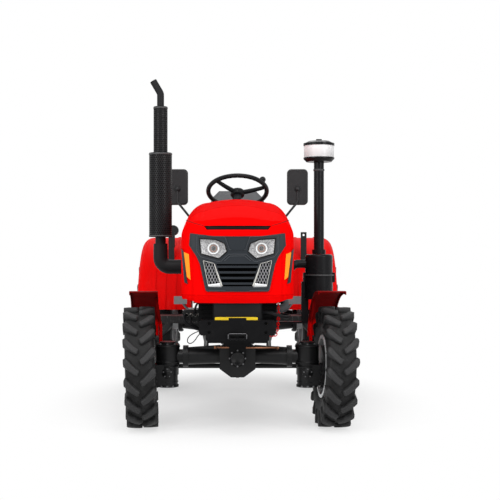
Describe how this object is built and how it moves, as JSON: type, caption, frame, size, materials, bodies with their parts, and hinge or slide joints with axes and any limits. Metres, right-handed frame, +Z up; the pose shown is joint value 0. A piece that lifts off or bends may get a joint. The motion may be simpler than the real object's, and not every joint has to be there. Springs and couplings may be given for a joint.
{
  "type": "farm tractor",
  "caption": "Compact four-wheel-drive farm tractor with an opening hood, lugged tyres, steered front axle, side exhaust stack, seat and rear three-point linkage.",
  "frame": {"origin": "on the ground under the middle of the tractor's box", "axes": "+Z up, nose toward -Y, the tractor's left toward +X"},
  "size_m": [1.3102, 2.6618, 1.9184],
  "materials": {
    "axle_black": "gloss paint",
    "chassis_black": "gloss paint",
    "battery_case": "moulded",
    "radiator_black": "gloss paint",
    "hose_grey": "moulded",
    "engine_paint": "painted casting",
    "exhaust_black": "gloss paint",
    "air_black": "gloss paint",
    "bowl_clear": "clear moulded",
    "driveline_paint": "painted casting",
    "bare_steel": "bare",
    "body_red": "gloss paint",
    "mask_grey": "moulded",
    "lamp_clear": "clear moulded",
    "lamp_amber": "clear moulded",
    "console_grey": "moulded",
    "wheel_grip": "moulded",
    "seat_frame": "gloss paint",
    "seat_vinyl": "vinyl",
    "mirror_black": "moulded",
    "tank_black": "moulded",
    "lamp_red": "clear moulded",
    "linkage_black": "gloss paint",
    "tyre_rubber": "moulded",
    "rim_silver": "gloss paint"
  },
  "bodies": {
    "chassis": {"front_axle": "axle_black", "front_support": "chassis_black", "front_plate": "chassis_black", "battery": "battery_case", "radiator": "radiator_black", "radiator_hose": "hose_grey", "engine_block": "engine_paint", "engine_head": "engine_paint", "exhaust_pipe": "exhaust_black", "muffler_guards": "exhaust_black", "air_cleaner": "air_black", "intake_stack": "air_black", "precleaner_bowl": "bowl_clear", "gearbox_case": "driveline_paint", "rear_axle_housing": "driveline_paint", "lift_housing": "driveline_paint", "pto_shaft": "bare_steel", "drawbar": "chassis_black", "dash_console": "console_grey", "steering_column": "console_grey", "footboards": "chassis_black", "seat_mount": "seat_frame", "seat_cushion": "seat_vinyl", "seat_back": "seat_vinyl", "mirrors": "mirror_black", "controls": "bare_steel", "fuel_tank": "tank_black", "rear_lamps": "lamp_red", "fender_left": "body_red", "fender_right": "body_red"},
    "hood": {"hood": "body_red", "grille_mask": "mask_grey", "headlamps": "lamp_clear", "side_lamps": "lamp_amber"},
    "steering_wheel": {"steering_wheel": "wheel_grip"},
    "knuckle_left": {"knuckle_left": "axle_black", "mudguard_left": "body_red"},
    "knuckle_right": {"knuckle_right": "axle_black", "mudguard_right": "body_red"},
    "tie_rod": {"tie_rod": "axle_black"},
    "wheel_front_left": {"front_tyre_left": "tyre_rubber", "front_rim_left": "rim_silver"},
    "wheel_front_right": {"front_tyre_right": "tyre_rubber", "front_rim_right": "rim_silver"},
    "wheel_rear_left": {"rear_tyre_left": "tyre_rubber", "rear_rim_left": "rim_silver"},
    "wheel_rear_right": {"rear_tyre_right": "tyre_rubber", "rear_rim_right": "rim_silver"},
    "lift_arms": {"lift_arms": "linkage_black"},
    "lift_rods": {"lift_rods": "linkage_black"},
    "lower_links": {"lower_links": "linkage_black"},
    "top_link": {"top_link": "linkage_black"}
  },
  "joints": [
    {"name": "steer_right", "type": "hinge", "parent": "chassis", "child": "knuckle_right", "pos_m": [-0.369, -0.91694, 0.335], "axis": [0, 0, 1], "range_deg": [-39, 31]},
    {"name": "steer_left", "type": "hinge", "parent": "chassis", "child": "knuckle_left", "pos_m": [0.369, -0.91694, 0.335], "axis": [0, 0, 1], "range_deg": [-39, 31]},
    {"name": "tie_rod_swing", "type": "hinge", "parent": "knuckle_right", "child": "tie_rod", "pos_m": [-0.38051, -0.75234, 0.306], "axis": [0, 0, -1], "range_deg": [-39, 31]},
    {"name": "steering_wheel_turn", "type": "hinge", "parent": "chassis", "child": "steering_wheel", "pos_m": [0, 0.11806, 1.318], "axis": [0, 0.4695, 0.8829], "range_deg": [-468, 372]},
    {"name": "hood_open", "type": "hinge", "parent": "chassis", "child": "hood", "pos_m": [0, -0.21094, 1.2], "axis": [-1, 0, 0], "range_deg": [0, 55]},
    {"name": "lift_raise", "type": "hinge", "parent": "chassis", "child": "lift_arms", "pos_m": [0, 0.67306, 0.69], "axis": [1, 0, 0], "range_deg": [0, 42]},
    {"name": "lower_links_raise", "type": "hinge", "parent": "chassis", "child": "lower_links", "pos_m": [0, 0.72306, 0.372], "axis": [1, 0, 0], "range_deg": [0, 42]},
    {"name": "lift_rods_swing", "type": "hinge", "parent": "lift_arms", "child": "lift_rods", "pos_m": [0, 0.92835, 0.63106], "axis": [-1, 0, 0], "range_deg": [0, 42]},
    {"name": "top_link_swing", "type": "hinge", "parent": "chassis", "child": "top_link", "pos_m": [0, 0.85306, 0.64], "axis": [-1, 0, 0], "range_deg": [0, 95]},
    {"name": "wheel_front_left_spin", "type": "hinge", "parent": "knuckle_left", "child": "wheel_front_left", "pos_m": [0.51065, -0.90703, 0.32], "axis": [0.997, 0.0697, -0.0349], "continuous": true},
    {"name": "wheel_rear_left_spin", "type": "hinge", "parent": "chassis", "child": "wheel_rear_left", "pos_m": [0.535, 0.63306, 0.47], "axis": [1, 0, 0], "continuous": true},
    {"name": "wheel_front_right_spin", "type": "hinge", "parent": "knuckle_right", "child": "wheel_front_right", "pos_m": [-0.51065, -0.92685, 0.32], "axis": [0.997, 0.0697, 0.0349], "continuous": true},
    {"name": "wheel_rear_right_spin", "type": "hinge", "parent": "chassis", "child": "wheel_rear_right", "pos_m": [-0.535, 0.63306, 0.47], "axis": [1, 0, 0], "continuous": true}
  ],
  "couplings": [
    {"joint": "steer_left", "follows": "steer_right", "ratio": 1},
    {"joint": "tie_rod_swing", "follows": "steer_right", "ratio": 1},
    {"joint": "steering_wheel_turn", "follows": "steer_right", "ratio": 12},
    {"joint": "lower_links_raise", "follows": "lift_raise", "ratio": 1},
    {"joint": "lift_rods_swing", "follows": "lift_raise", "ratio": 1}
  ]
}
